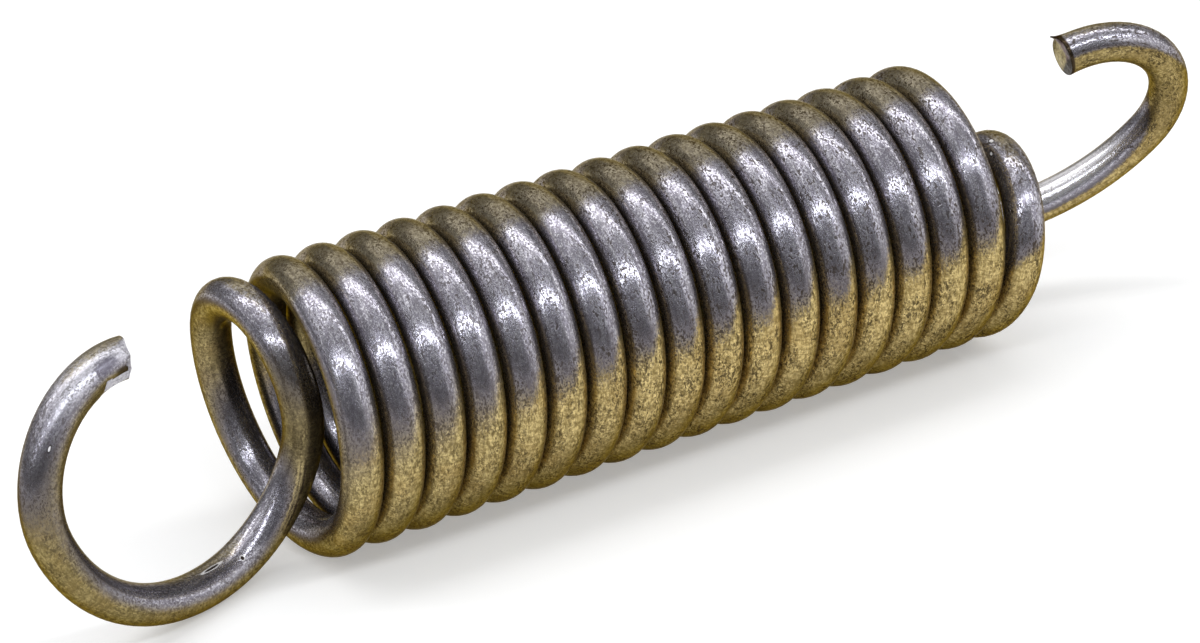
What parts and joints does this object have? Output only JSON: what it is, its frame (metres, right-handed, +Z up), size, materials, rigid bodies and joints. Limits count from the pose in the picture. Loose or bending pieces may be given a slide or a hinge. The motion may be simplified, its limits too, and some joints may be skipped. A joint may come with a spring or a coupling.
{
  "type": "extension spring",
  "caption": "Close-wound extension spring of round steel wire, with an open cross-over hook at each end of the coil.",
  "frame": {"origin": "bottom centre of the bounding box, on the surface that the spring rests on", "axes": "+X along the coil from the left hook to the right hook, +Z up as the spring lies at rest"},
  "size_m": [0.1113, 0.0255, 0.0268],
  "materials": {
    "wire": "satin"
  },
  "bodies": {
    "root": {"spring": "wire"}
  },
  "joints": []
}
